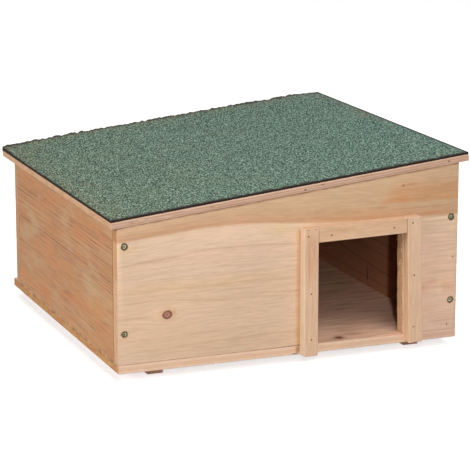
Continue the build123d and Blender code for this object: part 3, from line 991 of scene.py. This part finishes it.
def add_block(name, low, high):
    """A block primitive between two corners."""
    low, high = Vector(low), Vector(high)
    clear_selection()
    bpy.ops.mesh.primitive_cube_add(size=1, location=(low + high) / 2, scale=high - low)
    return take_new(name)


@contextmanager
def editing(piece):
    """Edit mode on one piece, with nothing selected at the start."""
    select_only(piece)
    bpy.ops.object.mode_set(mode="EDIT")
    bpy.ops.mesh.select_all(action="DESELECT")
    yield
    bpy.ops.object.mode_set(mode="OBJECT")


def pick(piece, kind, test):
    """Selects only the vertices, edges or faces that pass the test."""
    bpy.ops.mesh.select_all(action="DESELECT")
    bpy.ops.mesh.select_mode(type={"verts": "VERT", "edges": "EDGE", "faces": "FACE"}[kind])
    mesh = bmesh.from_edit_mesh(piece.data)
    for part in getattr(mesh, kind):
        part.select_set(test(part))
    mesh.select_flush_mode()
    bmesh.update_edit_mesh(piece.data)


def select_rim():
    """Selects a sheet's open edges."""
    bpy.ops.mesh.select_mode(type="EDGE")
    bpy.ops.mesh.select_non_manifold()


def slice_at(place, normal, **settings):
    """Bisects everything by a plane."""
    bpy.ops.mesh.select_all(action="SELECT")
    bpy.ops.mesh.bisect(plane_co=place, plane_no=normal, **settings)


def apply_modifier(piece, modifier):
    """Applies one modifier."""
    select_only(piece)
    bpy.ops.object.modifier_apply(modifier=modifier.name)


def cut(piece, cutter):
    """Cuts the cutter's shape out of a piece and removes the cutter."""
    made = piece.modifiers.new("cut", "BOOLEAN")
    made.operation = "DIFFERENCE"
    made.solver = "EXACT"
    made.object = cutter
    apply_modifier(piece, made)
    bpy.data.objects.remove(cutter)


def displace(piece, name, size, depth, basis="ORIGINAL_PERLIN", group="", level=1.0, contrast=1.0):
    """Presses a procedural relief into a surface or its weighted part; at level 0 it rises instead."""
    texture = bpy.data.textures.new(name, type="CLOUDS")
    texture.noise_scale = size
    texture.contrast = contrast
    texture.noise_basis = basis
    texture.noise_depth = 2
    made = piece.modifiers.new(name, "DISPLACE")
    made.texture = texture
    made.texture_coords = "LOCAL"
    made.direction = "Z"
    made.mid_level = level
    made.strength = depth
    made.vertex_group = group
    apply_modifier(piece, made)


def smooth(piece):
    """Smooth shading with sharp edges kept."""
    select_only(piece)
    bpy.ops.object.shade_smooth_by_angle(angle=radians(sharp_angle))


def join(pieces):
    """Joins pieces into the first one."""
    select_only(pieces[0])
    for piece in pieces:
        piece.select_set(True)
    bpy.ops.object.join()
    return pieces[0]


def dress(piece, *materials):
    """Puts materials in a piece's slots, in order."""
    piece.data.materials.clear()
    for material in materials:
        piece.data.materials.append(material)


def doorway_waste():
    """The block sawn out for the doorway: wavy sides, as a hand-held saw leaves them, and a wider foot."""
    low = (left_jamb_high.x, front_low.y - overrun, front_low.z - overrun)
    high = (right_jamb_low.x, front_high.y + overrun, door_top)
    waste = add_block("doorway_waste", low, high)
    with editing(waste):
        pick(waste, "verts", lambda v: v.co.x > low[0] + mm and v.co.z < low[2] + mm)
        bpy.ops.transform.translate(value=(saw_drift, 0, 0))
        bpy.ops.mesh.select_all(action="SELECT")
        bpy.ops.mesh.subdivide(number_cuts=saw_cuts)
        bpy.ops.mesh.select_all(action="SELECT")
        bpy.ops.transform.vertex_random(offset=saw_wander, seed=5)
    return waste


def front_board():
    """The front board: sloped top, a seam that opens towards the doorway, sawn doorway, screw mouths."""
    board = add_block("front_board", front_low, front_high)
    with editing(board):
        slice_at((front_low.x, 0, board_top_left), slope_normal, use_fill=True, clear_outer=True)
        bpy.ops.mesh.select_all(action="SELECT")
        bpy.ops.mesh.bevel(offset=arris, segments=2, affect="EDGES", profile=0.5)
        for x in (seam_start, left_jamb_high.x, right_jamb_low.x):
            slice_at((x, 0, 0), (1, 0, 0))
        near = 2 * arris
        pick(board, "verts", lambda v: abs(v.co.x - left_jamb_high.x) < mm and v.co.z < front_low.z + near)
        bpy.ops.transform.translate(value=(0, 0, seam_lift))
    cut(board, doorway_waste())
    for middle, radius, _ in heads_of("front_screws", Vector((0, 1, 0))):
        cut(board, screw_mouth(middle, radius))
    smooth(board)
    dress(board, front_finish())
    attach(board, "house")
    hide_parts("front_panel")


def screw_mouth(middle, radius):
    """The mouth that a screw has pulled into the face of the front board."""
    clear_selection()
    bpy.ops.mesh.primitive_cylinder_add(
        vertices=head_facets, radius=radius + mouth_gap, depth=2 * screw_mouth_depth, location=middle,
        rotation=(radians(90), 0, 0),
    )
    return take_new("screw_mouth")


def heads_of(node, direction):
    """Middle and radius of the head, and the length, of each fastener of a node that points one way."""
    mesh = bmesh.new()
    mesh.from_mesh(frame["nodes"][node].data)
    bmesh.ops.remove_doubles(mesh, verts=mesh.verts, dist=weld_distance)
    waiting, heads = set(mesh.verts), []
    while waiting:
        group, edge = set(), [min(waiting, key=lambda vert: vert.index)]
        while edge:
            vert = edge.pop()
            if vert not in group:
                group.add(vert)
                edge += [link.other_vert(vert) for link in vert.link_edges]
        waiting -= group
        depths = [vert.co.dot(direction) for vert in group]
        top = [vert.co for vert in group if vert.co.dot(direction) < min(depths) + 10 * weld_distance]
        low = Vector([min(place[i] for place in top) for i in range(3)])
        high = Vector([max(place[i] for place in top) for i in range(3)])
        middle = (low + high) / 2
        radius = max((place - middle).length for place in top)
        heads.append((middle, radius, max(depths) - min(depths)))
    mesh.free()
    return heads


def cross_cutter(radius):
    """The cross-shaped driver recess, as two tapered bars."""
    reach, width, depth = [
        radius * share for share in (recess_reach_share, recess_width_share, recess_depth_share)
    ]
    bars = []
    for size in ((reach, width), (width, reach)):
        bar = add_block("recess", (-size[0], -size[1], -depth), (size[0], size[1], depth))
        with editing(bar):
            pick(bar, "faces", lambda face: face.normal.z < -0.5)
            bpy.ops.transform.resize(value=(recess_taper_share, recess_taper_share, 1))
        bars.append(bar)
    return bars


def cross_head_screw(name, radius, length):
    """A countersunk cross-head screw with its head's top at the origin, pointing down."""
    shank = radius * shank_share
    rim = radius * rim_share
    clear_selection()
    bpy.ops.mesh.primitive_cylinder_add(
        vertices=head_facets, radius=radius, depth=rim, location=(0, 0, -rim / 2),
    )
    made = take_new(name)
    tip = 3 * shank / 2
    steps = (
        (shank / radius, radius - shank - rim),
        (1, length - radius + shank - tip),
        (tip_share, tip),
    )
    with editing(made):
        pick(made, "faces", lambda face: face.normal.z < -0.5)
        for share, drop in steps:
            bpy.ops.mesh.extrude_region_move(TRANSFORM_OT_translate={"value": (0, 0, -drop)})
            bpy.ops.transform.resize(value=(share, share, 1))
        pick(made, "faces", lambda face: face.normal.z > 0.5)
        bpy.ops.mesh.inset(thickness=radius * land_share)
        bpy.ops.mesh.inset(thickness=radius * land_share)
        bpy.ops.transform.translate(value=(0, 0, -radius * dish_share))
    for bar in cross_cutter(radius):
        cut(made, bar)
    smooth(made)
    return made


def tarnish(screw, radius):
    """Gives a screw's rim and recess their second material."""
    for face in screw.data.polygons:
        off = Vector(face.center[:2]).length
        at_rim = off > radius * (1 - 2 * land_share)
        in_recess = face.normal.z < 0.6 or face.center.z < -radius * bright_depth_share
        if (at_rim or in_recess) and face.center.z > -radius:
            face.material_index = 1


def copy_of(model, name, turn):
    """A copy with its own mesh, turned and moved to its place."""
    made = model.copy()
    made.data = model.data.copy()
    made.name = name
    made.data.name = name
    bpy.context.scene.collection.objects.link(made)
    made.data.transform(turn)
    return made


def cross_head_screws(node, direction, body, finish, grime):
    """Puts a modelled screw in the place of each one of a node, and joins them into one piece."""
    direction = Vector(direction).normalized()
    heads = heads_of(node, direction)
    _, radius, length = heads[0]
    model = cross_head_screw(node + "_model", radius, length)
    dress(model, finish, grime)
    tarnish(model, radius)
    upright = Vector((0, 0, -1)).rotation_difference(direction).to_matrix().to_4x4()
    copies = []
    for number, (middle, _, _) in enumerate(heads):
        spin = Matrix.Rotation(radians(driver_turns[number % len(driver_turns)]), 4, "Z")
        copies.append(copy_of(model, node + "_copy", Matrix.Translation(middle) @ upright @ spin))
    bpy.data.objects.remove(model)
    screws = join(copies)
    screws.name = "cross_head_" + node
    screws.data.name = screws.name
    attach(screws, body)
    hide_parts(node)


def along_roof(node):
    """Length up the slope, thickness and lowest corner of a node that lies on the roof."""
    low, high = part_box(node)
    width, rise = high.x - low.x, high.z - low.z
    thickness = (rise * cos(pitch) - width * sin(pitch)) / cos(2 * pitch)
    length = width * cos(pitch) + rise * sin(pitch) - 2 * thickness * sin(pitch) * cos(pitch)
    return length, thickness, Vector((low.x + thickness * sin(pitch), low.y, low.z))


def lay_on_roof(piece, corner):
    """Tilts a piece that was modelled flat and sets its corner in place."""
    piece.data.transform(Matrix.Translation(corner) @ Matrix.Rotation(-pitch, 4, "Y"))


def felt_sheet():
    """The felt: a gritty sheet with a ragged cut edge all round, its back edge curled up a little."""
    length, thickness, corner = along_roof("roof_felt")
    depth = felt_high.y - felt_low.y
    clear_selection()
    bpy.ops.mesh.primitive_grid_add(
        x_subdivisions=felt_cells, y_subdivisions=felt_cells, size=1,
        location=(length / 2, depth / 2, thickness),
    )
    bpy.ops.transform.resize(value=(length - 2 * felt_inset, depth - 2 * felt_inset, 1))
    sheet = take_new("felt_sheet")
    with editing(sheet):
        select_rim()
        bpy.ops.transform.vertex_random(offset=rim_wander, seed=2)
    displace(sheet, "swell", swell_size, swell_depth)
    displace(sheet, "grit", grit_size, grit_depth, "VORONOI_F1")
    with editing(sheet):
        select_rim()
        bpy.ops.transform.resize(value=(1, 1, 0), center_override=(0, 0, thickness - rim_drop))
    frayed = sheet.vertex_groups.new(name="frayed_edge")
    for vert in sheet.data.vertices:
        if vert.co.y > depth - fray_reach:
            share = min(1, (length - vert.co.x) / fray_fade) * (1 - (depth - vert.co.y) / fray_reach)
            frayed.add([vert.index], share, "REPLACE")
    displace(sheet, "fray", fray_size, fray_height, group=frayed.name, level=0.0, contrast=fray_contrast)
    with editing(sheet):
        select_rim()
        bpy.ops.mesh.extrude_edges_move(TRANSFORM_OT_translate={"value": (0, 0, -thickness)})
        bpy.ops.transform.resize(value=(1, 1, 0), center_override=(0, 0, 0))
        bpy.ops.mesh.edge_face_add()
        bpy.ops.mesh.bisect(plane_co=(0, depth - hem_width, 0), plane_no=(0, 1, 0))
    dress(sheet, felt_finish(), bitumen_finish())
    for face in sheet.data.polygons:
        if abs(face.normal.z) < 0.3 or face.normal.z < 0 and face.area > mm * mm:
            face.material_index = 1
    join((sheet, felt_lip(depth)))
    with editing(sheet):
        for share, lift, reach in curls:
            place = share * length
            pick(sheet, "verts", lambda v: v.co.y > depth - curl_rim and abs(v.co.x - place) < 2 * curl_rim)
            bpy.ops.transform.translate(
                value=(0, 0, lift), use_proportional_edit=True, proportional_edit_falloff="SMOOTH",
                proportional_size=reach,
            )
    lay_on_roof(sheet, corner + Vector((felt_shift, 0, 0)))
    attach(sheet, "roof")
    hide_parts("roof_felt")


def felt_lip(depth):
    """The felt's low end, folded down over the board's edge, further towards the back."""
    clear_selection()
    bpy.ops.mesh.primitive_grid_add(
        x_subdivisions=1, y_subdivisions=lip_cells, size=1, location=(0, depth / 2, 0),
        rotation=(0, radians(90), 0),
    )
    bpy.ops.transform.resize(value=(1, depth - 2 * felt_inset, 2 * lip_top))
    lip = take_new("felt_lip")
    with editing(lip):
        pick(lip, "verts", lambda v: v.co.z < 0)
        bpy.ops.transform.vertex_random(offset=lip_rag, seed=4)
        bpy.ops.transform.resize(value=(0, 1, 1), center_override=(0, 0, 0))
        bpy.ops.mesh.select_all(action="SELECT")
        bpy.ops.mesh.extrude_region_move(TRANSFORM_OT_translate={"value": (-lip_proud, 0, 0)})
    for vert in lip.data.vertices:
        if vert.co.z < 0:
            vert.co.z -= lip_drops[0] + (lip_drops[1] - lip_drops[0]) * (vert.co.y / depth) ** 2 - lip_top
    dress(lip, bitumen_finish())
    return lip


def dress_node(node, material):
    """Gives a CAD node its material."""
    piece = frame["nodes"][node]
    if piece.material_slots:
        piece.material_slots[0].material = material
    else:
        piece.data.materials.append(material)


def dress_nodes():
    """Materials of the pieces that keep their CAD shape, and the screws."""
    dress_node("left_side_panel", side_finish())
    for node, name, turn, shift, tones, end_depth, *marks in plain_boards:
        finish = plain_board_finish(name, turn, shift, *tones, end_depth=end_depth, marks=marks)
        dress_node(node, finish)
    dress_node("floor_board", floor_ply_finish())
    dress_node("roof_board", roof_ply_finish())
    nail = metal_finish("dull_nail_steel", (0.25, 0.105, 0.045), (0.11, 0.042, 0.02), 0.5, 0.8)
    for node in ("bearer_nails", "door_frame_brads"):
        dress_node(node, nail)
    steel = metal_finish("zinc_plated_steel", (0.42, 0.43, 0.44), (0.26, 0.265, 0.27), 0.28, 0.45)
    for node in frame["nodes"]:
        if "hinge" in node and "screw" not in node:
            dress_node(node, steel)
    zinc = metal_finish("passivated_zinc", (0.43, 0.41, 0.3), (0.08, 0.08, 0.045), 0.25, 0.5, 2.2 * mm)
    grime = metal_finish("tarnished_zinc", (0.13, 0.115, 0.06), (0.05, 0.042, 0.02), 0.5, 0.8)
    for side, direction in (("front", (0, 1, 0)), ("back", (0, -1, 0)), ("floor", (0, 0, 1))):
        cross_head_screws(side + "_screws", direction, "house", zinc, grime)
    cross_head_screws("wall_hinge_screws", (0, -1, 0), "house", steel, steel)
    cross_head_screws("roof_hinge_screws", slope_normal, "roof", steel, steel)


# Stage, light and camera

def white_for_camera(surface, plain, white):
    """Shows white to the camera, to gloss and through glass, and the plain shader to all other rays."""
    path = signals(new_node("LightPath", {}, surface.id_data))
    seen = greatest(path["Is Camera Ray"], path["Is Glossy Ray"], path["Is Transmission Ray"])
    feed(surface, output_of("MixShader", {0: seen, 1: plain, 2: white}))


def build_ground():
    """A pale floor that reflects light and shows the camera white, with a faint shadow and painted contact
    shade where ambient occlusion dims its glow near the house.
    """
    clear_selection()
    bpy.ops.mesh.primitive_plane_add(size=2 * ground_half)
    ground = take_new("ground")
    material, shader, spots = new_material("pale_ground")
    tree = material.node_tree
    tree.nodes.remove(shader)
    plain = output_of("BsdfDiffuse", {"Color": [ground_tone] * 3}, tree)
    shaded = output_of("BsdfDiffuse", {"Color": [seen_ground_tone] * 3}, tree)
    # Painted contact shade: ambient occlusion dims the glow near the house
    near = output_of("AmbientOcclusion", {"Distance": contact_reach}, tree, output="AO")
    corner = floor_low.x
    darkest = remap(
        parts_of(spots["Object"])[0], corner, corner + contact_corner, left_contact_glow, front_contact_glow,
    )
    glow = output_of("Emission", {"Strength": remap(near, 0.3, 0.98, darkest, ground_glow)})
    both = output_of("AddShader", {0: shaded, 1: glow})
    white_for_camera(tree.nodes["Material Output"].inputs["Surface"], plain, both)
    dress(ground, material)


def build_light():
    """An even white sky, and rectangular area lamps aimed at the middle of the house."""
    world = bpy.data.worlds.new("studio")
    bpy.context.scene.world = world
    world.use_nodes = True
    tree = world.node_tree
    sky = tree.nodes["Background"]
    feed(sky.inputs["Color"], (1, 1, 1))
    feed(sky.inputs["Strength"], sky_strength)
    white = output_of("Background", {"Color": (1, 1, 1), "Strength": 1.0}, tree)
    white_for_camera(tree.nodes["World Output"].inputs["Surface"], Signal(sky.outputs[0]), white)
    for name, (turn, rise, distance, width, height, power) in lamps.items():
        lamp = bpy.data.lights.new(name, "AREA")
        lamp.shape = "RECTANGLE"
        lamp.size = width
        lamp.size_y = height
        lamp.energy = power
        turn, rise = radians(turn), radians(rise)
        away = Vector((-sin(turn) * cos(rise), -cos(turn) * cos(rise), sin(rise)))
        made = in_scene(name, lamp)
        made.location = (cad_low + cad_high) / 2 + away * distance
        made.rotation_euler = (-away).to_track_quat("-Z", "Y").to_euler()


def in_scene(name, data):
    """An object in the scene."""
    made = bpy.data.objects.new(name, data)
    bpy.context.scene.collection.objects.link(made)
    return made


def build_camera():
    """The camera at the photograph's viewing angle."""
    lens = bpy.data.cameras.new("camera")
    lens.lens = camera_lens
    lens.sensor_width = camera_sensor
    camera = in_scene("camera", lens)
    camera.location = camera_place
    camera.rotation_euler = (radians(camera_tilt), 0, radians(camera_turn))
    bpy.context.scene.camera = camera


build_camera()
build_light()
build_ground()
dress_nodes()
front_board()
felt_sheet()
bpy.context.scene.view_settings.view_transform = "Standard"
